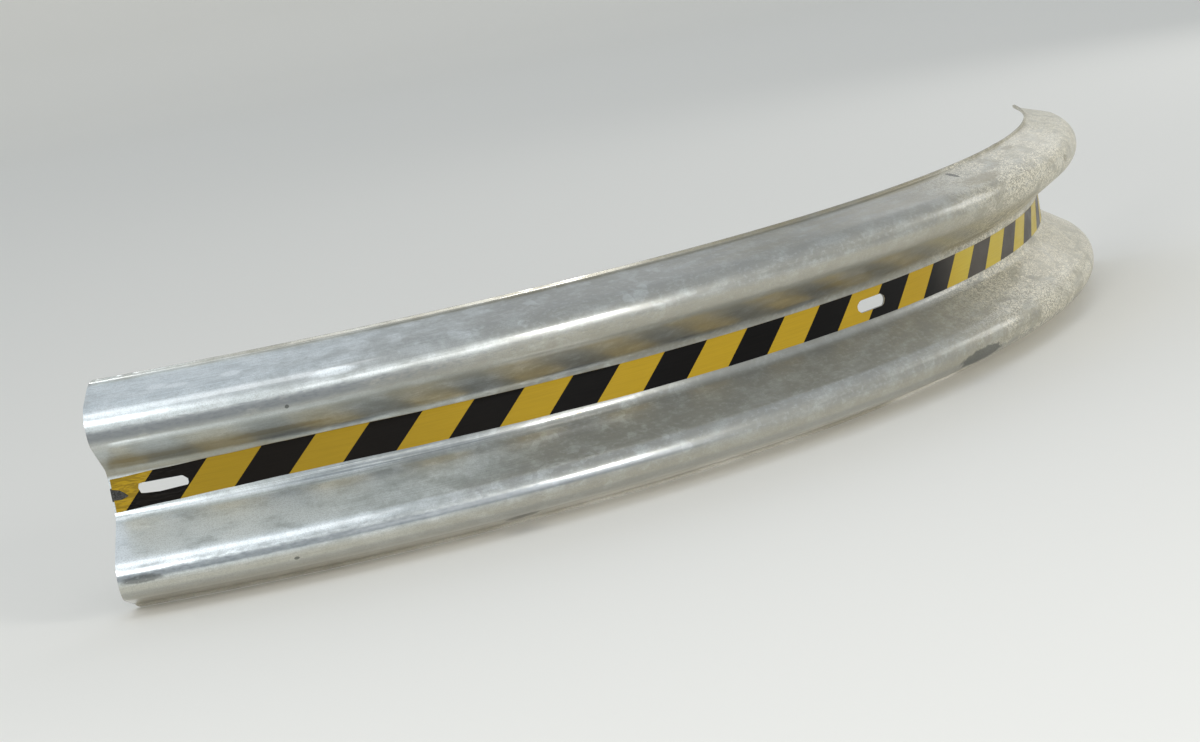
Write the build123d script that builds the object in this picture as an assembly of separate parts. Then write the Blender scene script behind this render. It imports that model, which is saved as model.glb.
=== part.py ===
from build123d import *
from math import asin, atan2, cos, degrees, hypot, radians, sin, tan
import os

# Industrial guard rail: one W-beam of galvanised sheet, roll-bent to a quarter circle with its
# crests on the outside, and a strip of yellow and black hazard tape along its valley.
# Millimetres. The rail stands on its bottom edge with Z up, its convex side faces -Y, its ends
# are as far to the left as to the right, and the origin is the middle of its box at the bottom.

# Rail: driving dimensions
sheet = 3.0                    # thickness of the steel
beam_height = 310.0            # from the bottom edge to the top edge
beam_depth = 83.0              # from the back of the valley to the front of the crests
crest_to_edge = 54.0           # from the middle of each crest up or down to the edge beside it
lip_height = 7.0               # upright strip at each edge, to its corner on the back
valley_width = 66.6            # between the corners of the webs at the back of the valley
crest_inner_radius = 29.0      # bend of each crest, on the back of the sheet
valley_outer_radius = 24.0     # bend beside the valley, on the back of the sheet
lip_outer_radius = 6.0         # bend before the upright lip, on the back of the sheet
bend_radius = 1475.0           # from the arc's axis to the back of the valley
bend_angle = 90.0              # turned by the whole rail
end_corner_radius = 9.0        # rounding of the four corners of the two end cuts

# Bolt slots through the valley: driving dimensions
slot_length = 66.0
slot_height = 18.0
end_slot_distance = 70.0       # from each end to the middle of the slot there, along the valley
long_slot_distance = 1197.0    # from the left end to the slot part-way along the rail

# Hazard tape: driving dimensions
tape_width = 50.0
tape_rise = 2.5                # of the tape's middle above the valley's middle
film = 0.5                     # thickness of the yellow film
ink = 0.2                      # thickness of the black bars printed on it
bar_width = 73.0               # of one black bar, measured along the tape, and of the gap after it
bar_lean = 45.0                # of the bars, from straight across the tape
first_bar_start = 15.0         # from the left end to the first bar, along the tape's lower edge

# Worked out from the values above
half_turn = bend_angle / 2
outer_radius = bend_radius + beam_depth
axis_y = (outer_radius + bend_radius * cos(radians(half_turn))) / 2
mid_height = beam_height / 2
crest_rise = mid_height - crest_to_edge
valley_radius = bend_radius + sheet
valley_length = valley_radius * radians(bend_angle)
slot_distances = [end_slot_distance, long_slot_distance, valley_length - end_slot_distance]
arc_axis = Axis((0, axis_y, 0), (0, 0, 1))


def heading(distance):
    """Angle from the front middle, in degrees, of a place along the valley from the left end."""
    return degrees(distance / valley_radius) - half_turn


def radial_plane(angle):
    """Upright plane through the arc's axis: local x runs outwards, local y upwards."""
    outwards = Vector(sin(radians(angle)), -cos(radians(angle)), 0)
    return Plane(origin=(0, axis_y, mid_height), x_dir=outwards, z_dir=outwards.cross(Vector(0, 0, 1)))


def facing_plane(angle, radius):
    """Upright plane that faces outwards at a radius: local x runs to the right, local y upwards."""
    outwards = Vector(sin(radians(angle)), -cos(radians(angle)), 0)
    along = Vector(cos(radians(angle)), sin(radians(angle)), 0)
    place = Vector(0, axis_y, mid_height) + outwards * radius
    return Plane(origin=place, x_dir=along, z_dir=outwards)


def slope(rise):
    """Angle from upright of a straight stretch that climbs from the sheet's back to a crest's bend."""
    crest_x = beam_depth - sheet - crest_inner_radius
    return degrees(atan2(crest_x, rise) + asin(crest_inner_radius / hypot(crest_x, rise)))


def corner(first, second):
    """Where two lines meet, each given as the angle of its normal and its distance from (0, 0)."""
    (angle_1, away_1), (angle_2, away_2) = first, second
    a, b = radians(angle_1), radians(angle_2)
    spread = sin(b - a)
    x = (away_1 * sin(b) - away_2 * sin(a)) / spread
    y = (away_2 * cos(a) - away_1 * cos(b)) / spread
    return x, y


def w_curve(depth):
    """Line of the W at a depth in front of the sheet's back, from its top edge to its bottom edge."""
    crest_x = beam_depth - sheet - crest_inner_radius

    def tangent(angle):
        """Straight stretch whose normal has this angle, touching the crest's bend."""
        to_crest = crest_x * cos(radians(angle)) + crest_rise * sin(radians(angle))
        return angle, to_crest + crest_inner_radius + depth

    valley = (0, depth)
    web = tangent(-slope(crest_rise - valley_width / 2))
    flange = tangent(slope(crest_to_edge - lip_height))
    lip = valley
    half = [(depth, mid_height), corner(flange, lip), corner(web, flange), corner(valley, web)]
    bends = [lip_outer_radius - depth, crest_inner_radius + depth, valley_outer_radius - depth]
    points = [(bend_radius + x, y) for x, y in half]
    mirrored = [(x, -y) for x, y in reversed(points)]
    return FilletPolyline(points + mirrored, radius=bends + bends[::-1])


def w_layer(inside, outside):
    """Face of the sheet, or of a layer on its front, between two depths from the sheet's back."""
    back, front = w_curve(inside), w_curve(outside)
    top = Line(back @ 0, front @ 0)
    bottom = Line(back @ 1, front @ 1)
    return make_face(back.edges() + front.edges() + top.edges() + bottom.edges())


def bend_along_arc(section):
    """Carry a section of the rail round its whole arc."""
    return revolve(radial_plane(-half_turn) * section, axis=arc_axis, revolution_arc=bend_angle)


def slot_cutter(distance):
    """Bolt slot, long enough to pass through the valley and what lies on it."""
    through = sheet + film + ink
    plane = facing_plane(heading(distance), bend_radius - through)
    return extrude(plane * SlotOverall(slot_length, slot_height), amount=4 * through)


def corner_cutter(side, rise):
    """Waste outside one rounded corner of an end cut; side and rise are -1 or 1."""
    corner_square = Rectangle(end_corner_radius, end_corner_radius)
    to_square = Pos(-side * end_corner_radius / 2, rise * (mid_height - end_corner_radius / 2))
    to_bend = Pos(-side * end_corner_radius, rise * (mid_height - end_corner_radius))
    waste = to_square * corner_square - to_bend * Circle(end_corner_radius)
    plane = facing_plane(side * half_turn, bend_radius - beam_depth)
    return extrude(plane * waste, amount=3 * beam_depth)


def tape_layer(inside, outside):
    """Layer of the tape between two depths from the sheet's back, along the whole valley."""
    strip = Pos(bend_radius + beam_depth / 2, tape_rise) * Rectangle(beam_depth, tape_width)
    layer = w_layer(inside, outside) & strip
    return bend_along_arc(layer)


def bar_cutter(start):
    """Prism of one leaning bar, whose lower edge starts at a distance along the valley."""
    lean = tape_width * tan(radians(bar_lean))
    low, high = tape_rise - tape_width / 2, tape_rise + tape_width / 2
    left = -(bar_width + lean) / 2
    right = left + bar_width
    outline = Polyline((left, low), (right, low), (right + lean, high), (left + lean, high), close=True)
    plane = facing_plane(heading(start - left), bend_radius)
    return extrude(plane * make_face(outline), amount=beam_depth)


def rail_beam():
    """Formed and bent sheet with its slots and its rounded end corners."""
    beam = bend_along_arc(w_layer(0, sheet))
    for distance in slot_distances:
        beam -= slot_cutter(distance)
    for side in (-1, 1):
        for rise in (-1, 1):
            beam -= corner_cutter(side, rise)
    return beam


def tape_film():
    """Yellow film stuck along the valley, open at the slots."""
    strip = tape_layer(sheet, sheet + film)
    for distance in slot_distances:
        strip -= slot_cutter(distance)
    return strip


def tape_bars():
    """Black bars on the film, at one even step, open at the slots."""
    layer = tape_layer(sheet + film, sheet + film + ink)
    for distance in slot_distances:
        layer -= slot_cutter(distance)
    bars = []
    start = first_bar_start
    while start < valley_length:
        bars += (layer & bar_cutter(start)).solids()
        start += 2 * bar_width
    return Compound(children=bars)


def main():
    os.makedirs("parts", exist_ok=True)
    nodes = {"rail_beam": rail_beam(), "tape_film": tape_film(), "tape_black_bars": tape_bars()}
    for name, shape in nodes.items():
        export_step(shape, f"parts/{name}.step")
        box = shape.bounding_box()
        print(name, len(shape.solids()), "solids", round(shape.volume), "mm3", box.min, box.max)


main()
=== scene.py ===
from math import asin, atan2, cos, hypot, pi, radians, sin, sqrt, tan

import bmesh
import bpy
from bpy.props import FloatProperty, FloatVectorProperty, PointerProperty
from mathutils import Matrix, Vector, noise


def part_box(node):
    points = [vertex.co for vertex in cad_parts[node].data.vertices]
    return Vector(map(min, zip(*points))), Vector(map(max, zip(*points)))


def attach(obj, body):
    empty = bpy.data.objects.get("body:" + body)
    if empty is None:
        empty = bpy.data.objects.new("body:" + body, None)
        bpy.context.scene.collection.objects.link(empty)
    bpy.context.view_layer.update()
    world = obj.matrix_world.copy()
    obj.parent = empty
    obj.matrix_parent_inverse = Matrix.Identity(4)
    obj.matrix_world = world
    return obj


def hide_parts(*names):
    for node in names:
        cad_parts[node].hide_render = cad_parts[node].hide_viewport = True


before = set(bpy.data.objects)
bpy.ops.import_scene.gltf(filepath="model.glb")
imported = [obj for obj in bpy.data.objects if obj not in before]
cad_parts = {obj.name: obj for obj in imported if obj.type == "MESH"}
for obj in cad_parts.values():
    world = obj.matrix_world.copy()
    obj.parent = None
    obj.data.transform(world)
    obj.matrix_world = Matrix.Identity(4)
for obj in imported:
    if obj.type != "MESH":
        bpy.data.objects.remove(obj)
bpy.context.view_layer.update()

# Guard rail: a W-beam of galvanised sheet, rolled to its section and bent to a quarter circle, with
# yellow and black hazard tape along its valley. Metres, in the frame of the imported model: the convex
# side faces -Y, the rail stands on its bottom edge, and the arc's axis is upright behind it.

bl_info = {
    "name": "Curved guard rail",
    "version": (1, 0, 0),
    "blender": (4, 5, 0),
    "location": "3D View > Sidebar > Guard rail",
    "description": "Makes a curved W-beam guard rail with hazard tape, and a plain stage for it",
    "category": "Object",
}

RAIL_LOW, RAIL_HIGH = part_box("rail_beam")

# Steps that each stretch and each bend of the W is drawn in, from the lip to the valley, then steps of
# half the valley's flat and of the whole arc.
STRETCH_STEPS = (1, 8, 9)
BEND_STEPS = (4, 18, 7)
VALLEY_STEPS = 4
ARC_STEPS = 330
# Steps of each bend in the table that the UV map and the marks are measured by.
MAP_STEPS = 12
# Steps round each rounded end corner, and round the two ends of a slot together.
CORNER_STEPS = 8
SLOT_STEPS = 40
# Columns along the film and along each black bar, and rows across both.
FILM_COLUMNS = 560
BAR_COLUMNS = 18
TAPE_ROWS = 16
# How far the slot and film cutters reach on both sides of the valley's back.
CUT_REACH = 0.02
# How far the corner cutters reach behind the valley's back, in front of it, and past the sheet's end.
CORNER_BEHIND, CORNER_FRONT, CORNER_OVER = 0.03, 0.05, 0.004
# Width of the broken edge round the sheet and its openings.
EDGE_BREAK = 0.0004
# Gaps between the tape's ends and the sheet's.
LEFT_GAP, RIGHT_GAP = 0.0024, 0.0006


def linear(hex_colour):
    """Linear RGBA of an sRGB colour written as #rrggbb."""
    channels = [int(hex_colour[i:i + 2], 16) / 255 for i in (1, 3, 5)]
    return [c / 12.92 if c <= 0.04045 else ((c + 0.055) / 1.055) ** 2.4 for c in channels] + [1.0]


def length(name, description, default):
    return FloatProperty(name=name, description=description, default=default, min=0.0, unit="LENGTH",
                         precision=4)


def turn(name, description, default):
    return FloatProperty(name=name, description=description, default=radians(default), subtype="ANGLE")


def colour(name, description, hex_colour):
    return FloatVectorProperty(name=name, description=description, default=linear(hex_colour), size=4,
                               min=0.0, max=1.0, subtype="COLOR")


class RailSizes(bpy.types.PropertyGroup):
    """Sizes of the rolled and bent sheet."""
    sheet: length("Sheet", "Thickness of the steel", 0.003)
    height: length("Height", "From the bottom edge to the top edge", RAIL_HIGH[2] - RAIL_LOW[2])
    depth: length("Depth", "From the back of the valley to the front of the crests", 0.083)
    crest_to_edge: length("Crest to edge", "From a crest's middle to the edge beside it", 0.054)
    lip: length("Lip", "Upright strip at each edge, to its corner on the back", 0.007)
    valley_width: length("Valley width", "Between the corners of the webs at the back of the valley", 0.0666)
    crest_radius: length("Crest bend", "Inner radius of each crest", 0.029)
    valley_radius: length("Valley bend", "Outer radius of the bends beside the valley", 0.024)
    lip_radius: length("Lip bend", "Outer radius of the bend before the lip", 0.006)
    bend_radius: length("Bend radius", "From the arc's axis to the back of the valley", 1.475)
    bend_angle: turn("Bend angle", "Turned by the whole rail", 90.0)
    corner_radius: length("End corner radius", "Rounding of the corners of the end cuts", 0.009)
    slot_length: length("Slot length", "Of each bolt slot", 0.066)
    slot_height: length("Slot height", "Of each bolt slot", 0.018)
    end_slot: length("End slot", "From each end to the middle of the slot there", 0.070)
    long_slot: length("Inner slot", "From the left end to the slot part-way along", 1.197)


class TapeSizes(bpy.types.PropertyGroup):
    """Sizes of the hazard tape."""
    width: length("Width", "Height of the strip as it lies in the valley", 0.0452)
    lift: length("Lift", "Of the film's face off the steel", 0.00045)
    film: length("Film", "Thickness that shows at its edges", 0.0003)
    ink: length("Ink", "Rise of the black bars above the yellow film", 0.00012)
    bar: length("Bar", "Length of one black bar, and of the gap after it", 0.0731)
    lean: turn("Lean", "Of the bars, from straight across the tape", 45.0)
    first_bar: length("First bar", "From the left end to the first bar, along the lower edge", 0.015)


class Finishes(bpy.types.PropertyGroup):
    """Colours of the steel, the tape and the stage."""
    # Zinc's pale bluish tone at the left end is in part a painted reflection of a brighter sky.
    zinc: colour("Zinc", "Clean galvanised face", "#dbe5e9")
    # Pale zinc is also a painted sky reflection on the lower web at the left.
    zinc_bloom_and_sky: colour("Pale zinc", "Bluish patches of zinc bloom", "#eef5f8")
    zinc_dull: colour("Dull zinc", "Greyer face beyond the left end", "#97978f")
    # Shade is also painted shade: above the upper crest's bright line at the left and at the top of the lower
    # flange.
    shade: colour("Shade", "Darker clouds, streaks and crystals", "#868886")
    # Painted reflection: the warm ground mirrored on the undersides of the crests.
    ground_reflection: colour("Belly", "Warm dusty undersides of the crests", "#b4ad96")
    # Painted floor light: a pale tone that brightens the lower flange in place of light bounced off the
    # floor.
    painted_floor_light: colour("Underside", "Flange that faces the floor", "#f6f3ea")
    # Smudge also paints dark reflection just below the crests' bright lines.
    smudge_and_dark_reflection: colour("Smudge", "Dark bluish marks", "#5d6670")
    # Grime is also painted shade on the downward web above the tape at the left.
    grime_and_shade: colour("Grime", "Yellowish brown film of dirt", "#8d8468")
    yellow: colour("Yellow", "Yellow of the tape", "#b09024")
    black: colour("Black", "Black of the tape", "#060505")
    yellow_faded: colour("Faded yellow", "Yellow of the aged end of the tape", "#bea840")
    black_faded: colour("Faded black", "Black of the aged end of the tape", "#4d4842")
    weathered: colour("Weathered zinc", "Warm grey of the weathered end", "#a39c86")
    speckle: colour("Speckle", "Pale coarse crystals", "#f0e9d4")
    mark: colour("Mark", "Dark patches and pits", "#3f4341")
    # Painted shadow: near black on the steel inside the tape's torn end.
    tear_shadow: colour("Tear", "Dirty steel in the tape's torn end", "#1d1812")
    # Film dirt is also painted shade in the folds of the tape's wrinkles.
    film_dirt_and_shade: colour("Film dirt", "Dirt in the tape's grain and wrinkles", "#27211a")
    floor: colour("Floor", "Pale stage floor", "#f1efe9")
    sky: colour("Sky", "Cool light from above", "#cdd3d9")
    horizon: colour("Horizon", "Light from low down", "#e4e4df")


def rail_sizes():
    return bpy.context.scene.guard_rail


def outward(angle):
    """Away from the arc's axis, at an angle from the front middle."""
    return Vector((sin(angle), -cos(angle), 0.0))


def forward(angle):
    """Along the rail from left to right, at an angle from the front middle."""
    return Vector((cos(angle), sin(angle), 0.0))


def arc_axis():
    """Foot of the arc's axis, level with the middle of the rail."""
    size = rail_sizes()
    return Vector((0.0, RAIL_LOW[1] + size.bend_radius + size.depth, (RAIL_LOW[2] + RAIL_HIGH[2]) / 2))


def valley_line():
    """Radius along which distances are measured: the front of the valley."""
    size = rail_sizes()
    return size.bend_radius + size.sheet


def heading(distance):
    """Angle from the front middle of a place along the valley from the left end."""
    return distance / valley_line() - rail_sizes().bend_angle / 2


def meet(first, second):
    """Where two lines cross, each given as its normal's angle and its distance from (0, 0)."""
    (a, p), (b, q) = first, second
    spread = sin(b - a)
    return Vector(((p * sin(b) - q * sin(a)) / spread, (q * cos(a) - p * cos(b)) / spread))


def section_bends(depth):
    """Bends of the W above its middle, from the lip down to the valley, at a depth from the back.

    Each is (centre, reach, first angle, last angle): the centre as (out, up) from the back of the
    valley's middle, the reach from it to the line, and the angles of the line's normal.
    """
    size = rail_sizes()
    crest_out = size.depth - size.sheet - size.crest_radius
    crest_up = size.height / 2 - size.crest_to_edge

    def slope(rise):
        return atan2(crest_out, rise) + asin(size.crest_radius / hypot(crest_out, rise))

    def beside_crest(angle):
        return angle, crest_out * cos(angle) + crest_up * sin(angle) + size.crest_radius + depth

    flange = beside_crest(slope(size.crest_to_edge - size.lip))
    web = beside_crest(-slope(crest_up - size.valley_width / 2))
    upright = (0.0, depth)
    reaches = [depth - size.lip_radius, size.crest_radius + depth, depth - size.valley_radius]
    bends = []
    for first, second, reach in zip([upright, flange, web], [flange, web, upright], reaches):
        centre = meet((first[0], first[1] - reach), (second[0], second[1] - reach))
        bends.append((centre, reach, first[0], second[0]))
    return bends


def normal_2d(angle):
    return Vector((cos(angle), sin(angle)))


def clear_selection():
    for other in bpy.context.selected_objects:
        other.select_set(False)


def start_piece(name, add, **settings):
    """Add a primitive with nothing else selected, and name it."""
    clear_selection()
    add(**settings)
    piece = bpy.context.object
    piece.name = piece.data.name = name
    return piece


def edit(piece):
    clear_selection()
    piece.select_set(True)
    bpy.context.view_layer.objects.active = piece
    bpy.ops.object.mode_set(mode="EDIT")


def leave_edit():
    bpy.ops.object.mode_set(mode="OBJECT")


def start_line(name, place):
    """One loose vertex at a place, selected in edit mode, to draw a line from."""
    piece = start_piece(name, bpy.ops.mesh.primitive_plane_add, size=0.01)
    edit(piece)
    bpy.ops.mesh.merge(type="CENTER")
    bpy.ops.transform.translate(value=place)
    return piece


def draw_to(here, there, steps):
    """Draw a straight stretch on from the last vertex."""
    for _ in range(steps):
        bpy.ops.mesh.extrude_vertices_move(TRANSFORM_OT_translate={"value": (there - here) / steps})


def apply_modifier(piece, name, kind, **settings):
    modifier = piece.modifiers.new(name, kind)
    for key, value in settings.items():
        setattr(modifier, key, value)
    bpy.context.view_layer.objects.active = piece
    bpy.ops.object.modifier_apply(modifier=name)


def draw_front_line(left):
    """Draw the W's front line at the left end: its upper half, then its mirror image."""
    size = rail_sizes()
    axis = arc_axis()

    def place(point):
        return axis + outward(left) * (size.bend_radius + point[0]) + Vector((0.0, 0.0, point[1]))

    here = Vector((size.sheet, size.height / 2))
    piece = start_line("rail_beam_sheet", place(here))
    for bend, run_steps, bend_steps in zip(section_bends(size.sheet), STRETCH_STEPS, BEND_STEPS):
        centre, reach, first, last = bend
        there = centre + normal_2d(first) * reach
        draw_to(place(here), place(there), run_steps)
        bpy.ops.mesh.spin(steps=bend_steps, angle=last - first, center=place(centre), axis=forward(left))
        here = centre + normal_2d(last) * reach
    draw_to(place(here), place((size.sheet, 0.0)), VALLEY_STEPS)
    bpy.ops.mesh.select_all(action="SELECT")
    bpy.ops.mesh.duplicate()
    bpy.ops.transform.resize(value=(1, 1, -1), center_override=axis)
    bpy.ops.mesh.select_all(action="SELECT")
    bpy.ops.mesh.remove_doubles(threshold=0.00001)
    return piece


def face_outwards(piece):
    """Turn a sheet's faces away from the arc's axis."""
    bpy.ops.mesh.select_all(action="SELECT")
    bpy.ops.mesh.normals_make_consistent(inside=False)
    mesh = bmesh.from_edit_mesh(piece.data)
    axis = arc_axis()
    facing = sum((face.normal.xy.dot(face.calc_center_median().xy - axis.xy) for face in mesh.faces), 0.0)
    if facing < 0:
        bpy.ops.mesh.flip_normals()


def set_facing(piece, angle, out, rise):
    """Turn a cutter to face outwards at an angle: its X runs along the rail and its Y upwards."""
    place = arc_axis() + outward(angle) * out + Vector((0.0, 0.0, rise))
    columns = Matrix((forward(angle), Vector((0.0, 0.0, 1.0)), outward(angle))).transposed()
    piece.matrix_world = Matrix.Translation(place) @ columns.to_4x4()


def slot_cutter(distance):
    """Rounded bar that cuts one bolt slot through the valley."""
    size = rail_sizes()
    piece = start_piece("slot_cutter", bpy.ops.mesh.primitive_cylinder_add, vertices=SLOT_STEPS,
                        radius=size.slot_height / 2, depth=2 * CUT_REACH)
    edit(piece)
    for side in (-1, 1):
        mesh = bmesh.from_edit_mesh(piece.data)
        for vertex in mesh.verts:
            vertex.select_set(vertex.co.x * side > 0.0001)
        mesh.select_flush_mode()
        bpy.ops.transform.translate(value=(side * (size.slot_length - size.slot_height) / 2, 0, 0))
    leave_edit()
    set_facing(piece, heading(distance), size.bend_radius, 0.0)
    return piece


def prism(name, outline, low, high):
    """Upright prism on an outline of (x, y) corners, drawn one after another."""
    places = [Vector((x, y, low)) for x, y in outline]
    piece = start_line(name, places[0])
    for here, there in zip(places, places[1:]):
        draw_to(here, there, 1)
    bpy.ops.mesh.select_all(action="SELECT")
    bpy.ops.mesh.edge_face_add()
    bpy.ops.mesh.extrude_region_move(TRANSFORM_OT_translate={"value": (0, 0, high - low)})
    bpy.ops.mesh.select_all(action="SELECT")
    bpy.ops.mesh.normals_make_consistent(inside=False)
    leave_edit()
    return piece


def corner_cutter(side, rise):
    """Waste outside one rounded corner of an end cut; side and rise are -1 or 1."""
    size = rail_sizes()
    r, over = size.corner_radius, CORNER_OVER
    turns = [pi / 2 * i / CORNER_STEPS for i in range(CORNER_STEPS + 1)]
    bend = [(r * (1 - sin(turned)), r * (cos(turned) - 1)) for turned in turns]
    outline = [(-side * x, rise * y) for x, y in [(-over, over), (r, over)] + bend + [(-over, -r)]]
    piece = prism("corner_cutter", outline, -CORNER_BEHIND, CORNER_FRONT)
    set_facing(piece, side * size.bend_angle / 2, size.bend_radius, rise * size.height / 2)
    return piece


def film_cutter(outline):
    """Knife cut through the tape, from its corners as (distance along, height) in millimetres."""
    middle = sum(along for along, _ in outline) / len(outline)
    corners = [((along - middle) / 1000, up / 1000) for along, up in outline]
    piece = prism("film_cutter", corners, -CUT_REACH, CUT_REACH)
    set_facing(piece, heading(middle / 1000), rail_sizes().bend_radius, 0.0)
    return piece


def cut(piece, cutter):
    """Cut one solid out of a piece and throw the cutter away."""
    apply_modifier(piece, "cut", "BOOLEAN", operation="DIFFERENCE", solver="EXACT", object=cutter)
    bpy.data.objects.remove(cutter)


def slot_distances():
    size = rail_sizes()
    whole = valley_line() * size.bend_angle
    return [size.end_slot, size.long_slot, whole - size.end_slot]


def smooth(piece, angle=35.0):
    clear_selection()
    piece.select_set(True)
    bpy.context.view_layer.objects.active = piece
    bpy.ops.object.shade_smooth_by_angle(angle=radians(angle))


def distance_along(point):
    """Distance along the valley from the left end of any point near the rail."""
    axis = arc_axis()
    return (atan2(point.x, axis.y - point.y) + rail_sizes().bend_angle / 2) * valley_line()


def section_length():
    """Table of (height from the middle, length along the front line from it), for the upper half."""
    size = rail_sizes()
    points = [Vector((size.sheet, size.height / 2))]
    for centre, reach, first, last in section_bends(size.sheet):
        points += [centre + normal_2d(first + (last - first) * i / MAP_STEPS) * reach
                   for i in range(MAP_STEPS + 1)]
    points = [Vector((size.sheet, 0.0))] + points[::-1]
    rows, walked = [], 0.0
    for before, after in zip([points[0]] + points, points):
        walked += (after - before).length
        rows.append((after.y, walked))
    return rows


def length_at(rows, height):
    for (low, start), (high, end) in zip(rows, rows[1:]):
        if abs(height) <= high:
            share = (abs(height) - low) / (high - low) if high > low else 0.0
            walked = start + share * (end - start)
            break
    else:
        walked = rows[-1][1]
    return walked if height >= 0 else -walked


# How far the back of the sheet lies above the front on its UV map, in metres, clear of the front's marks.
BACK_SHIFT = 2.0


def map_sheet(piece):
    """UV map in metres: U along the rail and V round its section, as if the sheet lay flat."""
    rows = section_length()
    axis = arc_axis()
    places = [(distance_along(v.co), length_at(rows, v.co.z - axis.z)) for v in piece.data.vertices]
    for layer in list(piece.data.uv_layers):
        piece.data.uv_layers.remove(layer)
    layer = piece.data.uv_layers.new(name="flat_sheet")
    for face in piece.data.polygons:
        facing = face.normal.x * (face.center.x - axis.x) + face.normal.y * (face.center.y - axis.y)
        shift = BACK_SHIFT if facing < -0.05 else 0.0
        for index in face.loop_indices:
            u, v = places[piece.data.loops[index].vertex_index]
            layer.data[index].uv = (u, v + shift)


# Dents and creases of the sheet: distance along, height from the middle, half length, half height,
# and push outwards, in millimetres.
DENTS = [
    (1450.0, 143.0, 26.0, 9.0, -1.6),
    (1690.0, 148.0, 30.0, 7.0, -1.8),
    (1805.0, 104.0, 16.0, 7.0, -1.2),
    (1385.0, 128.0, 60.0, 14.0, 0.9),
    (640.0, 132.0, 180.0, 16.0, -0.5),
    (980.0, 120.0, 150.0, 20.0, 0.5),
    (420.0, -62.0, 170.0, 14.0, -0.5),
    (1180.0, -58.0, 130.0, 16.0, 0.5),
]
# Shallow waves all over the sheet: how long and how high they are and how far they push it, in
# millimetres, and the layer of the noise that they are taken from.
WAVE_ALONG, WAVE_UP, WAVE_PUSH, WAVE_LAYER = 95.0, 38.0, 0.22, 3.1


def press_dents(piece):
    """Push the sheet's faces in and out at its dents, with soft edges."""
    axis = arc_axis()
    for vertex in piece.data.vertices:
        along = distance_along(vertex.co) * 1000
        up = (vertex.co.z - axis.z) * 1000
        push = 0.0
        for place, rise, half_length, half_height, amount in DENTS:
            away = ((along - place) / half_length) ** 2 + ((up - rise) / half_height) ** 2
            if away < 1:
                push += amount * (1 - away) ** 2
        push += WAVE_PUSH * noise.noise(Vector((along / WAVE_ALONG, up / WAVE_UP, WAVE_LAYER)))
        if push:
            radial = Vector((vertex.co.x - axis.x, vertex.co.y - axis.y, 0.0)).normalized()
            vertex.co += radial * (push / 1000)


def add_node(tree, kind, inputs, output=0, **settings):
    """Add one node and return one of its outputs: an input takes a value or another node's output."""
    new = tree.nodes.new("ShaderNode" + kind)
    for name, value in settings.items():
        setattr(new, name, value)
    for name, value in inputs.items():
        if isinstance(value, bpy.types.NodeSocket):
            tree.links.new(value, new.inputs[name])
        else:
            new.inputs[name].default_value = value
    return new.outputs[output] if new.outputs else new


def new_material(name):
    material = bpy.data.materials.new(name)
    material.use_nodes = True
    material.node_tree.nodes.clear()
    return material, material.node_tree


def cloudy(tree, flat, across, along, detail=4.0, seed=0.0, distortion=0.0):
    """Noise on the flat sheet, whose features are so many millimetres across and along the rail."""
    stretched = add_node(tree, "Mapping", {
        "Vector": flat, "Location": (seed, seed * 0.7, seed * 1.3),
        "Scale": (1000 / along, 1000 / across, 1.0)})
    return add_node(tree, "TexNoise", {
        "Vector": stretched, "Scale": 1.0, "Detail": detail, "Roughness": 0.55, "Distortion": distortion})


def paint(tree, under, over, strength, *steps):
    """Colour or number with another laid over it, at a strength times some soft steps.

    Each step is (value, where it starts, where it is full), and falls where it starts above full.
    """
    for value, start, full in steps:
        strength = add_node(tree, "MapRange", {0: value, 1: start, 2: full, 4: strength},
                            interpolation_type="SMOOTHSTEP")
    if isinstance(over, float):
        return add_node(tree, "Mix", {0: strength, 2: under, 3: over})
    return add_node(tree, "Mix", {0: strength, 6: under, 7: over}, 2, data_type="RGBA")


def paint_all(tree, under, layers):
    """Colours or numbers laid over one another, each as (over, strength, *steps) for paint."""
    for over, strength, *steps in layers:
        under = paint(tree, under, over, strength, *steps)
    return under


def marked(tree, flat, ragged, marks):
    """Nearness to some marks, from 0 in a middle to 1 on an outline and more beyond.

    Each mark is (distance along, height, half length, half height) in millimetres.
    """
    rows = section_length()
    nearest = 9.0
    for along, height, half_length, half_height in marks:
        middle = (along / 1000, length_at(rows, height / 1000), 0.0)
        reach = (half_length / 1000, half_height / 1000, 1.0)
        away = add_node(tree, "VectorMath", {0: flat, 1: middle}, operation="SUBTRACT")
        away = add_node(tree, "VectorMath", {0: away, 1: reach}, operation="DIVIDE")
        away = add_node(tree, "VectorMath", {0: away}, 1, operation="LENGTH")
        nearest = add_node(tree, "Math", {0: nearest, 1: away}, operation="MINIMUM")
    return add_node(tree, "Math", {0: nearest, 1: ragged}, operation="ADD")


# Marks on the front of the steel, each as marked() takes them: a smear at the left end, dark patches
# and pits, pale patches of bloom, grime on the web and the top edge, with painted shade in the two on
# the web at the left, bluish stains above the tape, yellow glue below it, and painted shadow on the
# steel bared where the tape is torn.
SMEAR_MARKS = [(30, -101.5, 26, 5)]
DARK_MARKS = [(522, -137, 25, 20), (1350, -119, 58, 13), (1447, 144, 7, 12), (246, 83, 2.5, 3.5),
              (221, -115, 3.5, 2.5)]
PALE_MARKS = [(92, 137, 14, 8), (116, 135, 18, 6), (186, 136, 14, 8), (310, 116, 30, 6), (53, -56, 12, 5),
              (70, -70, 22, 8)]
GRIME_MARKS = [(1120, 52, 80, 9), (1500, 36, 110, 8), (60, 45, 60, 8), (230, 48, 70, 8), (1330, 149, 120, 8),
               (1470, 132, 60, 14), (1706, 145, 26, 8), (1824, 102, 16, 6)]
STAIN_MARKS = [(262, 37, 55, 9), (330, 34, 40, 5), (650, 34, 60, 6), (848, 36, 50, 6), (1030, 34, 50, 6)]
GLUE_MARKS = [(612, -26, 9, 1.2), (642, -26, 7, 1.4), (668, -25.5, 6, 1.2)]
TEAR_SHADOW_MARKS = [(8, -0.5, 22, 9)]


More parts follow.
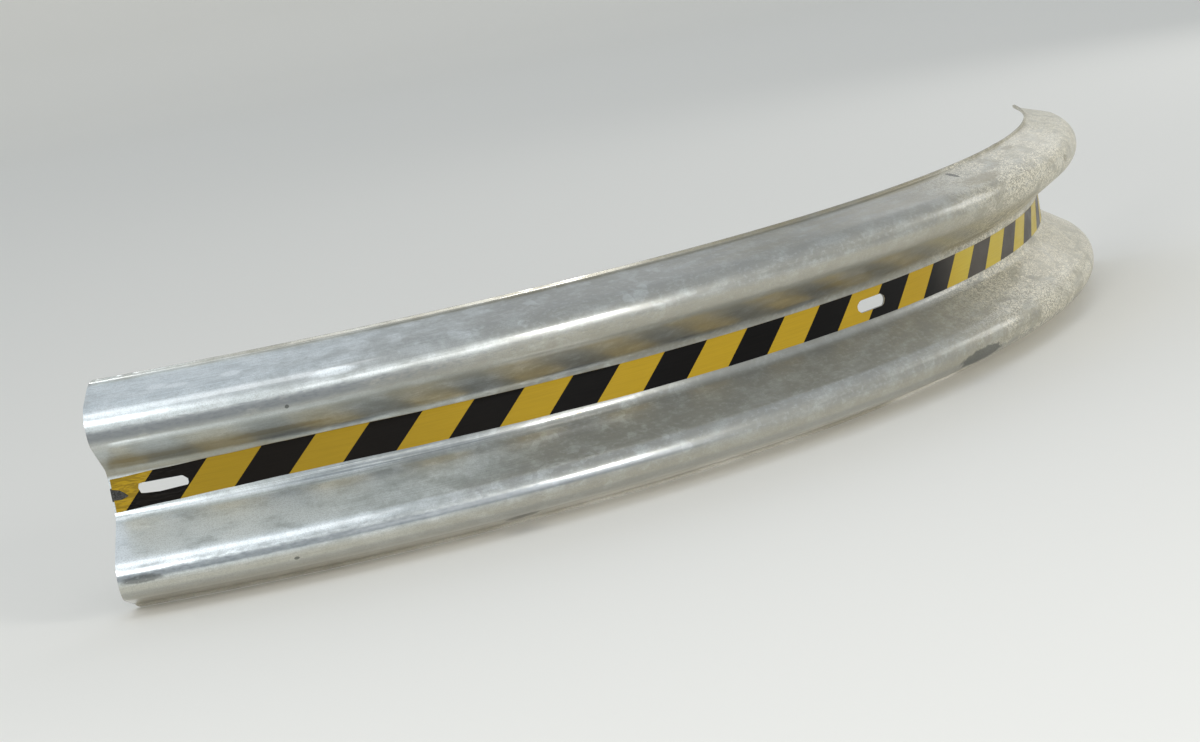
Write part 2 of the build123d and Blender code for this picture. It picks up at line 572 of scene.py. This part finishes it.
def galvanised_steel():
    """Hot-dip galvanised steel sheet, rolled after dipping.

    The zinc gives a satin bluish grey metal with soft bright lines along its bends, cloudy pale bloom,
    fine grain and streaks along the rolling. A painted warm reflection of the ground lies under the crests,
    with smudges there that are partly painted dark reflection; dirt, partly painted shade at the left,
    lies beside the tape; painted sky reflection, painted shade and painted floor light even out the
    sheet's brightness; and the far end is weathered to a matt warm grey with coarse pale speckle.
    """
    finish = bpy.context.scene.guard_rail_finishes
    material, tree = new_material("galvanised_steel")
    flat = add_node(tree, "UVMap", {}, uv_map="flat_sheet")
    along = add_node(tree, "SeparateXYZ", {0: flat})
    across = along.node.outputs[1]
    from_middle = add_node(tree, "Math", {0: across}, operation="ABSOLUTE")
    rows = section_length()

    def up(height):
        """Length round the front from the middle to a height in millimetres, in metres."""
        return length_at(rows, height / 1000)

    broad = cloudy(tree, flat, 60, 160, 3.0, 1.0)
    cloud = cloudy(tree, flat, 24, 38, 5.0, 4.0)
    mottle = cloudy(tree, flat, 6, 8, 4.0, 9.0)
    streaks = cloudy(tree, flat, 2.2, 260, 3.0, 7.0)
    grain = cloudy(tree, flat, 1.3, 1.6, 2.0, 11.0)
    rubbed = cloudy(tree, flat, 4, 11, 5.0, 23.0)
    # The crackle of weathered zinc is about 1 mm fine, and is drawn 4 to 5 mm coarse so that it shows.
    coarse = cloudy(tree, flat, 3.8, 4.9, 2.0, 17.0, 1.6)
    coarse_fields = cloudy(tree, flat, 40, 70, 4.0, 19.0, 0.6)
    dirt = cloudy(tree, flat, 12, 60, 4.0, 29.0)
    waves = cloudy(tree, flat, 22, 40, 2.0, 31.0)
    # Zinc crystals, 15 mm across, with bent outlines.
    warp = cloudy(tree, flat, 15, 15, 3.0, 37.0)
    warped = add_node(tree, "VectorMath", {0: warp, 1: (0.012, 0.0, 0.0), 2: flat}, operation="MULTIPLY_ADD")
    crystals = add_node(tree, "TexVoronoi", {"Vector": warped, "Scale": 1000 / 15, "Smoothness": 0.35}, 1,
                        feature="SMOOTH_F1")
    crystal_tone = add_node(tree, "SeparateColor", {0: crystals})
    # Distance along with an uneven edge, and raggedness for the outlines of marks.
    wander = add_node(tree, "Math", {0: broad, 1: 0.4, 2: along}, operation="MULTIPLY_ADD")
    ragged = add_node(tree, "Math", {0: mottle, 1: 0.6, 2: -0.3}, operation="MULTIPLY_ADD")
    dark = marked(tree, flat, ragged, DARK_MARKS)
    # Mask of the painted shadow in the tape's torn end.
    torn = marked(tree, flat, 0.0, TEAR_SHADOW_MARKS)

    # Soft steps that several layers share.
    lower_half = (across, 0.0, -0.02)
    above_tape = (across, 0.021, 0.027)
    left_end = (along, 0.60, 0.25)
    left_half = (along, 0.95, 0.60)
    lower_ground_reflection = (across, up(-98), up(-112))
    below_tape_left = ((across, up(-40), up(-29)), lower_half, (along, 0.14, 0.28), (along, 0.60, 0.48))
    below_tape_right = ((across, up(-46), up(-32)), lower_half, (along, 0.72, 0.92))
    speckled = ((along, 1.25, 1.60), (coarse_fields, 0.36, 0.52), (coarse, 0.49, 0.53))
    on_dark = (dark, 1.15, 0.85)
    on_tear_shadow = (torn, 1.1, 1.0)

    base = paint_all(tree, finish.zinc, [
        # The whole sheet: duller beyond the left end, whose paler bluer tone is in part a painted reflection
        # of the brighter sky there; then warm and pale where it is weathered.
        (finish.zinc_dull, 1.0, (wander, 0.30, 0.85)),
        (finish.weathered, 0.95, (wander, 1.15, 1.95)),
        (finish.speckle, 0.36, (wander, 1.70, 2.10)),
        # Clouds of bloom, crystals, mottling and rolling streaks.
        (finish.zinc_bloom_and_sky, 0.15, (cloud, 0.44, 0.68)),
        (finish.zinc_bloom_and_sky, 0.40, (cloud, 0.44, 0.64), (wander, 0.85, 0.45)),
        (finish.shade, 0.30, (cloud, 0.50, 0.28)),
        (finish.zinc_bloom_and_sky, 0.22, (crystal_tone, 0.60, 0.85), (cloud, 0.42, 0.58), (wander, 1.20, 0.80)),
        (finish.shade, 0.18, (mottle, 0.54, 0.30)),
        (finish.zinc_bloom_and_sky, 0.12, (mottle, 0.50, 0.70)),
        (finish.shade, 0.25, (streaks, 0.35, 0.75)),
        # Darker top flange past the middle, a painted sky reflection that pales the lower web at the left,
        # and painted shade that greys the left part of the upper crest above its bright line.
        (finish.shade, 0.45, (across, up(116), up(130)), (wander, 1.15, 1.30), (wander, 1.70, 1.50)),
        (finish.zinc_bloom_and_sky, 0.95, (across, up(-30), up(-46)), (across, up(-94), up(-84)),
         (along, 0.42, 0.08), (cloud, 0.24, 0.58)),
        (finish.shade, 0.42, (across, up(107), up(114)), (across, up(128), up(118)),
         (along, 0.08, 0.18), (along, 0.55, 0.38)),
        # Painted warm reflection of the ground under both crests; on the lower flange, which turns to the
        # floor, painted shade at its top and painted floor light over the rest.
        (finish.ground_reflection, 0.48, (across, up(55), up(75)), (across, up(102), up(92))),
        (finish.ground_reflection, 0.45, lower_ground_reflection),
        (finish.ground_reflection, 0.40, lower_ground_reflection, (along, 0.60, 0.20)),
        (finish.shade, 0.45, (across, up(-114), up(-120)), (across, up(-138), up(-124))),
        (finish.painted_floor_light, 0.85, (across, up(-124), up(-138))),
        # Grime above the tape and on the lower flange; the strong layer at the left is partly painted shade
        # on the downward web there.
        (finish.grime_and_shade, 0.28, above_tape, (across, up(72), up(40)), (dirt, 0.25, 0.75)),
        (finish.grime_and_shade, 0.70, above_tape, (across, up(76), up(44)), (along, 0.50, 0.15)),
        (finish.grime_and_shade, 0.35, (across, up(-116), up(-130)), (along, 0.60, 0.10)),
        # Smudges on the lower side of the crests, even ones and then rubbed ones; the even ones are partly
        # painted dark reflection just below the bright lines, which narrows them.
        (finish.smudge_and_dark_reflection, 0.80, (across, up(76), up(90)), (across, up(103), up(95)), left_end,
         (cloud, 0.15, 0.50)),
        (finish.smudge_and_dark_reflection, 0.68, (across, up(-90), up(-95)), (across, up(-103), up(-99)), left_half,
         (cloud, 0.15, 0.45)),
        (finish.smudge_and_dark_reflection, 0.38, (from_middle, up(80), up(92)), (from_middle, up(104), up(98)), left_end,
         (rubbed, 0.35, 0.75)),
        (finish.smudge_and_dark_reflection, 0.55, (from_middle, up(84), up(93)), (from_middle, up(105), up(98)), left_half,
         (rubbed, 0.42, 0.80), (mottle, 0.30, 0.60)),
        # Darker steel just below the tape, and warm scale on the top flange past the middle.
        (finish.smudge_and_dark_reflection, 0.60, *below_tape_left, (streaks, 0.30, 0.55)),
        (finish.shade, 0.50, *below_tape_right, (along, 1.62, 1.45)),
        (finish.grime_and_shade, 0.34, (across, up(118), up(136)), (wander, 0.80, 1.20), (wander, 1.75, 1.50),
         (dirt, 0.25, 0.65)),
        (finish.speckle, 0.78, *speckled),
        # Dirt along both edges, on the front alone.
        (finish.grime_and_shade, 0.60, (from_middle, up(147), up(151.5)), (from_middle, 1.0, 0.9), (broad, 0.30, 0.60)),
        # Single marks.
        (finish.grime_and_shade, 0.60, (marked(tree, flat, ragged, GRIME_MARKS), 1.25, 0.6)),
        (finish.smudge_and_dark_reflection, 0.50, (marked(tree, flat, ragged, STAIN_MARKS), 1.3, 0.5)),
        (finish.zinc_bloom_and_sky, 0.90, (marked(tree, flat, ragged, PALE_MARKS), 1.2, 0.6)),
        (finish.yellow, 0.80, (marked(tree, flat, ragged, GLUE_MARKS), 1.1, 0.8)),
        (finish.mark, 0.75, (marked(tree, flat, ragged, SMEAR_MARKS), 1.3, 0.7), (mottle, 0.20, 0.42)),
        (finish.mark, 0.72, on_dark),
        # Painted shadow in the tape's torn end.
        (finish.tear_shadow, 0.97, on_tear_shadow),
        (finish.shade, 0.30, (grain, 0.58, 0.34)),
    ])

    # Satin zinc, matt where it is weathered, and on dark marks.
    rough = paint_all(tree, 0.31, [
        (0.41, 1.0, (broad, 0.30, 0.70)),
        (0.62, 1.0, (wander, 1.20, 1.90)),
        (0.30, 0.5, (grain, 0.35, 0.65)),
        (0.70, 1.0, on_dark),
    ])
    # The sheen of clean zinc, lost where the sheet is weathered or dirty.
    gloss = paint_all(tree, 1.0, [
        (0.25, 1.0, (wander, 1.10, 1.60)),
        (0.15, 1.0, above_tape, (across, up(80), up(60))),
        (0.2, 1.0, *below_tape_left),
        (0.2, 1.0, *below_tape_right),
        (0.2, 1.0, (across, up(112), up(128)), (wander, 0.95, 1.30), (wander, 1.75, 1.50)),
        (0.4, 1.0, (across, up(-91), up(-95)), (across, up(-104), up(-100)), left_half),
        (0.2, 1.0, on_dark),
        (0.0, 1.0, on_tear_shadow),
    ])
    # Oxide hides part of the metal, and dust more of it on the lower flange.
    metallic = paint(tree, 0.6, 0.35, 1.0, (across, up(-118), up(-130)))

    height = 0.0
    for pattern, rise in ((streaks, 0.35), (grain, 0.25), (mottle, 0.45), (waves, 1.0)):
        height = add_node(tree, "Math", {0: pattern, 1: rise, 2: height}, operation="MULTIPLY_ADD")
    height = paint(tree, height, 2.6, 0.8, *speckled)
    bump = add_node(tree, "Bump", {"Height": height, "Strength": 0.5, "Distance": 0.0003})

    shader = add_node(tree, "BsdfPrincipled", {
        "Base Color": base, "Metallic": metallic, "Roughness": rough, "Normal": bump,
        "Coat Weight": gloss, "Coat Roughness": 0.13, "Coat IOR": 1.9})
    add_node(tree, "OutputMaterial", {"Surface": shader})
    return material


def printed_vinyl(name, tint, faded):
    """Printed vinyl tape film.

    A smooth soft plastic with a satin gloss, drawn out along its length, and paler where it has aged.
    It wrinkles beside its torn end, with dirt and painted shade in the folds.
    """
    dirt = bpy.context.scene.guard_rail_finishes.film_dirt_and_shade
    material, tree = new_material(name)
    flat = add_node(tree, "UVMap", {}, uv_map="flat_sheet")
    along = add_node(tree, "SeparateXYZ", {0: flat})
    drawn = cloudy(tree, flat, 1.8, 90, 3.0, 3.0)
    cloud = cloudy(tree, flat, 25, 40, 3.0, 5.0)
    wrinkled = cloudy(tree, flat, 5, 26, 1.0, 8.0, 1.5)
    base = paint_all(tree, tint, [
        (faded, 1.0, (along, 1.33, 1.52)),
        (dirt, 0.24, (along, 0.75, 0.20), (along, 0.02, 0.14)),
        (dirt, 0.10, (drawn, 0.35, 0.75)),
        # Darker in the wrinkles: dirt and painted shade in their folds.
        (dirt, 0.35, (along, 0.13, 0.02), (wrinkled, 0.42, 0.60)),
    ])
    rough = paint(tree, 0.28, 0.40, 1.0, (cloud, 0.30, 0.70))
    height = add_node(tree, "Math", {0: drawn, 1: 0.3, 2: cloud}, operation="MULTIPLY_ADD")
    height = paint(tree, height, 4.0, 1.0, (along, 0.15, 0.02), (wrinkled, 0.35, 0.65))
    bump = add_node(tree, "Bump", {"Height": height, "Strength": 0.5, "Distance": 0.0005})
    shader = add_node(tree, "BsdfPrincipled", {
        "Base Color": base, "Roughness": rough, "IOR": 1.53, "Specular IOR Level": 0.09, "Normal": bump})
    add_node(tree, "OutputMaterial", {"Surface": shader})
    return material


def finish_piece(piece, material, slot, *nodes):
    """Give a piece its material, hang it on the root body and hide the model's parts that it stands in for.
    """
    piece.data.materials.clear()
    piece.data.materials.append(material)
    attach(piece, "root")
    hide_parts(*nodes)


class GUARD_RAIL_OT_beam(bpy.types.Operator):
    """W-beam of galvanised sheet with its bolt slots and rounded end corners"""
    bl_idname = "guard_rail.beam"
    bl_label = "Rail beam"

    def execute(self, context):
        size = rail_sizes()
        left = -size.bend_angle / 2
        piece = draw_front_line(left)
        bpy.ops.mesh.select_all(action="SELECT")
        bpy.ops.mesh.spin(steps=ARC_STEPS, angle=-size.bend_angle, center=arc_axis(), axis=(0, 0, 1))
        face_outwards(piece)
        leave_edit()
        press_dents(piece)
        apply_modifier(piece, "wall", "SOLIDIFY", thickness=size.sheet, offset=-1.0, use_even_offset=True)
        for distance in slot_distances():
            cut(piece, slot_cutter(distance))
        for side in (-1, 1):
            for rise in (-1, 1):
                cut(piece, corner_cutter(side, rise))
        apply_modifier(piece, "edges", "BEVEL", width=EDGE_BREAK, segments=2, limit_method="ANGLE",
                       angle_limit=radians(50), use_clamp_overlap=True)
        smooth(piece)
        map_sheet(piece)
        finish_piece(piece, galvanised_steel(), "galvanised_steel", "rail_beam")
        return {"FINISHED"}


# Middle of the tape above the valley's middle, at distances from the left end, in millimetres.
TAPE_DRIFT = [(0, -1.8), (70, 1.0), (150, 3.4), (230, 5.2), (320, 5.7), (430, 4.7), (600, 3.2),
              (760, 1.5), (950, 0.8), (1400, -1.0), (2400, -1.0)]


def drift(distance):
    """Rise of the tape's middle at a distance from the left end."""
    along = distance * 1000
    for (here, low), (there, high) in zip(TAPE_DRIFT, TAPE_DRIFT[1:]):
        if along <= there:
            share = min(1.0, max(0.0, (along - here) / (there - here)))
            share = share * share * (3 - 2 * share)
            return (low + share * (high - low)) / 1000
    return TAPE_DRIFT[-1][1] / 1000


def on_valley(distance, height, lift):
    """Place on the front of the valley, at a distance along it and a height from its middle."""
    size = rail_sizes()
    centre, reach, web, _ = section_bends(size.sheet + lift)[2]
    reach = abs(reach)
    rise = abs(height)
    if rise <= centre.y:
        out = size.sheet + lift
    elif rise <= centre.y + reach * sin(-web):
        out = centre.x - sqrt(reach ** 2 - (rise - centre.y) ** 2)
    else:
        out = centre.x - reach * cos(web) + (rise - centre.y - reach * sin(-web)) * tan(-web)
    angle = heading(distance)
    return arc_axis() + outward(angle) * (size.bend_radius + out) + Vector((0.0, 0.0, height))


def lay_strip(name, start, stop, columns, rows, lean, lift):
    """Strip of the tape between two distances, laid on the valley; its ends lean to the right."""
    size = bpy.context.scene.guard_rail_tape
    piece = start_piece(name, bpy.ops.mesh.primitive_grid_add, x_subdivisions=columns,
                        y_subdivisions=rows, size=1)
    whole = valley_line() * rail_sizes().bend_angle
    for vertex in piece.data.vertices:
        across = vertex.co.y + 0.5
        along = start + (vertex.co.x + 0.5) * (stop - start) + across * size.width * tan(lean)
        along = min(max(along, LEFT_GAP), whole - RIGHT_GAP)
        height = drift(along) + (across - 0.5) * size.width
        vertex.co = on_valley(along, height, lift)
    return piece


# Openings cut by hand in the tape, as their corners (distance along, height) in millimetres: the torn
# left end, and round the first two bolt slots, where a little film is left over the first slot.
FILM_OPENINGS = [
    [(-4, 7.2), (2.1, 7.0), (12.3, 4.4), (18.3, -0.2), (22.7, -4.9), (13.5, -8.4), (2.8, -8.0), (-4, -8.2)],
    [(38.7, 8.6), (44, 9.4), (75.9, 9.4), (97, 9.2), (103.5, 3.8), (103.8, -1.6), (101.8, -4.2), (83.2, -5.2),
     (64.6, -6.3), (45, -5.0), (39.5, -4.1), (37.0, 3.0)],
    [(1163.4, 2.8), (1169, 7.6), (1175, 9.4), (1221, 9.2), (1229, 4.5), (1230.6, 0), (1227, -7), (1221, -9.4),
     (1171, -9.4), (1164, -4)],
]


def finish_strip(piece, thickness):
    """Give a strip its thickness towards the steel and cut its openings."""
    edit(piece)
    bpy.ops.mesh.select_all(action="SELECT")
    bpy.ops.mesh.remove_doubles(threshold=0.000001)
    face_outwards(piece)
    leave_edit()
    apply_modifier(piece, "thickness", "SOLIDIFY", thickness=thickness, offset=-1.0)
    for outline in FILM_OPENINGS:
        cut(piece, film_cutter(outline))
    cut(piece, slot_cutter(slot_distances()[-1]))
    smooth(piece)
    map_sheet(piece)


class GUARD_RAIL_OT_tape_film(bpy.types.Operator):
    """Yellow film stuck along the valley"""
    bl_idname = "guard_rail.tape_film"
    bl_label = "Tape film"

    def execute(self, context):
        size = context.scene.guard_rail_tape
        finish = context.scene.guard_rail_finishes
        whole = valley_line() * rail_sizes().bend_angle
        piece = lay_strip("tape_film_strip", LEFT_GAP, whole - RIGHT_GAP, FILM_COLUMNS, TAPE_ROWS,
                          0.0, size.lift)
        finish_strip(piece, size.film)
        finish_piece(piece, printed_vinyl("tape_yellow", finish.yellow, finish.yellow_faded),
                     "tape_yellow", "tape_film")
        return {"FINISHED"}


class GUARD_RAIL_OT_tape_bars(bpy.types.Operator):
    """Black bars printed across the film at one even step"""
    bl_idname = "guard_rail.tape_bars"
    bl_label = "Tape bars"

    def execute(self, context):
        size = context.scene.guard_rail_tape
        finish = context.scene.guard_rail_finishes
        whole = valley_line() * rail_sizes().bend_angle
        bars = []
        start = size.first_bar
        while start < whole:
            bars.append(lay_strip("tape_bar", start, start + size.bar, BAR_COLUMNS, TAPE_ROWS,
                                  size.lean, size.lift + size.ink))
            start += 2 * size.bar
        clear_selection()
        for bar in bars:
            bar.select_set(True)
        bpy.context.view_layer.objects.active = bars[0]
        bpy.ops.object.join()
        piece = bars[0]
        piece.name = piece.data.name = "tape_black_bars_print"
        finish_strip(piece, size.ink)
        finish_piece(piece, printed_vinyl("tape_black", finish.black, finish.black_faded),
                     "tape_black", "tape_black_bars")
        return {"FINISHED"}


# Soft boxes: name, the place on the rail that each is aimed at, its direction from there in degrees
# round and up, how far away it hangs, its width and height in metres, and how bright its face is.
SOFT_LIGHTS = [
    ("soft_box_left", (-1.05, 0.20, 0.20), -145.5, 25.0, 4.5, 0.8, 1.1, 11.5),
    ("soft_box_wide", (-1.05, 0.20, 0.20), -140.0, 62.0, 3.6, 2.8, 1.5, 1.25),
    ("soft_box_front", (-0.53, -0.08, 0.20), -87.0, 15.0, 5.0, 1.1, 1.2, 16.0),
    ("soft_box_right", (0.20, -0.17, 0.20), -20.0, 10.0, 5.0, 1.0, 1.2, 4.0),
    ("soft_box_far", (0.90, 0.10, 0.20), 15.0, 24.0, 5.0, 3.0, 2.4, 0.8),
    ("soft_box_low", (-0.30, -0.25, 0.05), -102.0, 5.0, 5.0, 5.0, 1.0, 1.9),
]


# The camera, at the picture's viewing angle: its place, its heading round from +X, how far it looks
# down and how far it is rolled in degrees, and its lens in millimetres on a 36 mm sensor.
CAMERA_PLACE = (-3.1039, -2.7968, 0.7936)
CAMERA_YAW, CAMERA_PITCH, CAMERA_ROLL = 45.62, 9.292, -10.342
CAMERA_LENS, CAMERA_SENSOR = 83.69, 36.0

# The floor: how far it lies under the rail, its corners and its radius, then its rim as rings that each
# grow outwards by the first number of metres and rise by the second.
FLOOR_DROP = 0.001
FLOOR_CORNERS = 96
FLOOR_RADIUS = 12.0
FLOOR_RIM = [(0.9, 0.12), (0.7, 0.4), (0.4, 0.7), (0.15, 1.1)]


def add_light(name, aim, yaw, rise, away, width, height, glow):
    """Hang a soft box in a direction from the place that it is aimed at."""
    towards = Vector((cos(rise) * cos(yaw), cos(rise) * sin(yaw), sin(rise)))
    light = bpy.data.lights.new(name, "AREA")
    light.shape = "RECTANGLE"
    light.size, light.size_y = width, height
    light.energy = glow * pi * width * height
    lamp = bpy.data.objects.new(name, light)
    lamp.location = aim + towards * away
    lamp.rotation_euler = (-towards).to_track_quat("-Z", "Y").to_euler()
    bpy.context.scene.collection.objects.link(lamp)


class GUARD_RAIL_OT_stage(bpy.types.Operator):
    """Pale floor, soft light and the camera"""
    bl_idname = "guard_rail.stage"
    bl_label = "Stage"

    def execute(self, context):
        scene = context.scene
        finish = scene.guard_rail_finishes
        floor = start_piece("floor", bpy.ops.mesh.primitive_circle_add, vertices=FLOOR_CORNERS,
                            radius=FLOOR_RADIUS, fill_type="NGON", location=(0, 0, -FLOOR_DROP))
        edit(floor)
        bpy.ops.mesh.select_all(action="SELECT")
        bpy.ops.mesh.region_to_loop()
        for outwards, upwards in FLOOR_RIM:
            bpy.ops.mesh.extrude_edges_move(TRANSFORM_OT_translate={"value": (0, 0, upwards)})
            reach = 1 + outwards / FLOOR_RADIUS
            bpy.ops.transform.resize(value=(reach, reach, 1), center_override=(0, 0, 0))
        leave_edit()
        smooth(floor, 60.0)
        # Matt paint, rolled on: pale and even, with no gloss.
        material, tree = new_material("matte_floor_paint")
        shader = add_node(tree, "BsdfPrincipled", {"Base Color": finish.floor, "Roughness": 0.9})
        add_node(tree, "OutputMaterial", {"Surface": shader})
        floor.data.materials.append(material)

        world = bpy.data.worlds.new("soft_sky")
        world.use_nodes = True
        tree = world.node_tree
        tree.nodes.clear()
        ray = add_node(tree, "TexCoord", {}, "Generated")
        rise = add_node(tree, "SeparateXYZ", {0: ray}, 2)
        sky = paint(tree, finish.horizon, finish.sky, 1.0, (rise, 0.0, 0.8))
        background = add_node(tree, "Background", {"Color": sky, "Strength": 0.9})
        add_node(tree, "OutputWorld", {"Surface": background})
        scene.world = world
        scene.view_settings.view_transform = "Standard"
        for name, aim, yaw, rise, away, width, height, glow in SOFT_LIGHTS:
            add_light(name, Vector(aim), radians(yaw), radians(rise), away, width, height, glow)

        yaw, pitch, roll = radians(CAMERA_YAW), radians(CAMERA_PITCH), radians(CAMERA_ROLL)
        ahead = Vector((cos(pitch) * cos(yaw), cos(pitch) * sin(yaw), -sin(pitch)))
        level = Vector((sin(yaw), -cos(yaw), 0.0))
        above = level.cross(ahead)
        right = level * cos(roll) + above * sin(roll)
        up = above * cos(roll) - level * sin(roll)
        data = bpy.data.cameras.new("camera")
        data.sensor_width = CAMERA_SENSOR
        data.lens = CAMERA_LENS
        data.clip_end = 100.0
        camera = bpy.data.objects.new("camera", data)
        camera.matrix_world = Matrix.Translation(CAMERA_PLACE) @ Matrix(
            (right, up, -ahead)).transposed().to_4x4()
        scene.collection.objects.link(camera)
        scene.camera = camera
        return {"FINISHED"}


class GUARD_RAIL_PT_panel(bpy.types.Panel):
    """Makes the guard rail's pieces"""
    bl_idname = "GUARD_RAIL_PT_panel"
    bl_label = "Guard rail"
    bl_space_type = "VIEW_3D"
    bl_region_type = "UI"
    bl_category = "Guard rail"

    def draw(self, context):
        column = self.layout.column()
        for piece in (GUARD_RAIL_OT_beam, GUARD_RAIL_OT_tape_film, GUARD_RAIL_OT_tape_bars,
                      GUARD_RAIL_OT_stage):
            column.operator(piece.bl_idname)
        scene = context.scene
        for group in (scene.guard_rail, scene.guard_rail_tape, scene.guard_rail_finishes):
            for name in group.bl_rna.properties.keys():
                if name not in ("rna_type", "name"):
                    column.prop(group, name)


CLASSES = (RailSizes, TapeSizes, Finishes, GUARD_RAIL_OT_beam, GUARD_RAIL_OT_tape_film,
           GUARD_RAIL_OT_tape_bars, GUARD_RAIL_OT_stage, GUARD_RAIL_PT_panel)


def register():
    for kind in CLASSES:
        bpy.utils.register_class(kind)
    bpy.types.Scene.guard_rail = PointerProperty(type=RailSizes)
    bpy.types.Scene.guard_rail_tape = PointerProperty(type=TapeSizes)
    bpy.types.Scene.guard_rail_finishes = PointerProperty(type=Finishes)


def unregister():
    del bpy.types.Scene.guard_rail_finishes
    del bpy.types.Scene.guard_rail_tape
    del bpy.types.Scene.guard_rail
    for kind in reversed(CLASSES):
        bpy.utils.unregister_class(kind)


def main():
    register()
    bpy.ops.guard_rail.stage()
    bpy.ops.guard_rail.beam()
    bpy.ops.guard_rail.tape_film()
    bpy.ops.guard_rail.tape_bars()


if __name__ == "__main__":
    main()
